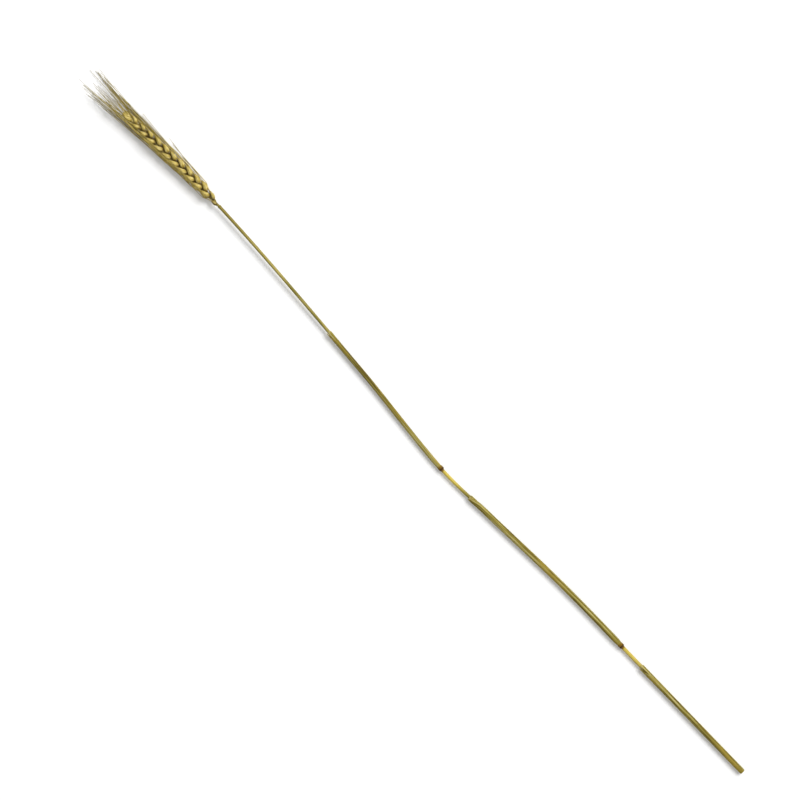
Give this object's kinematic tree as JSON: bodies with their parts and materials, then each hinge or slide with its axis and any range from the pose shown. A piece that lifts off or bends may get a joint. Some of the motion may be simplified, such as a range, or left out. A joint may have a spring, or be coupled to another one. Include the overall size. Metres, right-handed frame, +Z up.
{
  "type": "wheat ear on its straw",
  "caption": "Dried bearded wheat ear with its cut straw and leaf sheaths, laid down: two rows of plump husks, long fine awns and a slim, gently bent hollow stalk.",
  "frame": {"origin": "on the surface the stalk lies on, under the middle of its bounding box", "axes": "+X along the stalk towards the ear and its awns, +Y to the side the straw bows to, +Z up"},
  "size_m": [0.6466, 0.0188, 0.0129],
  "materials": {
    "straw": "dry straw, satin",
    "leaf_sheath": "dry leaf, matte, finely ribbed",
    "ear": "dry husk, satin"
  },
  "bodies": {
    "root": {"culm": "straw", "sheath_lower": "leaf_sheath", "sheath_middle": "leaf_sheath", "sheath_upper": "leaf_sheath", "ear": "ear"}
  },
  "joints": []
}
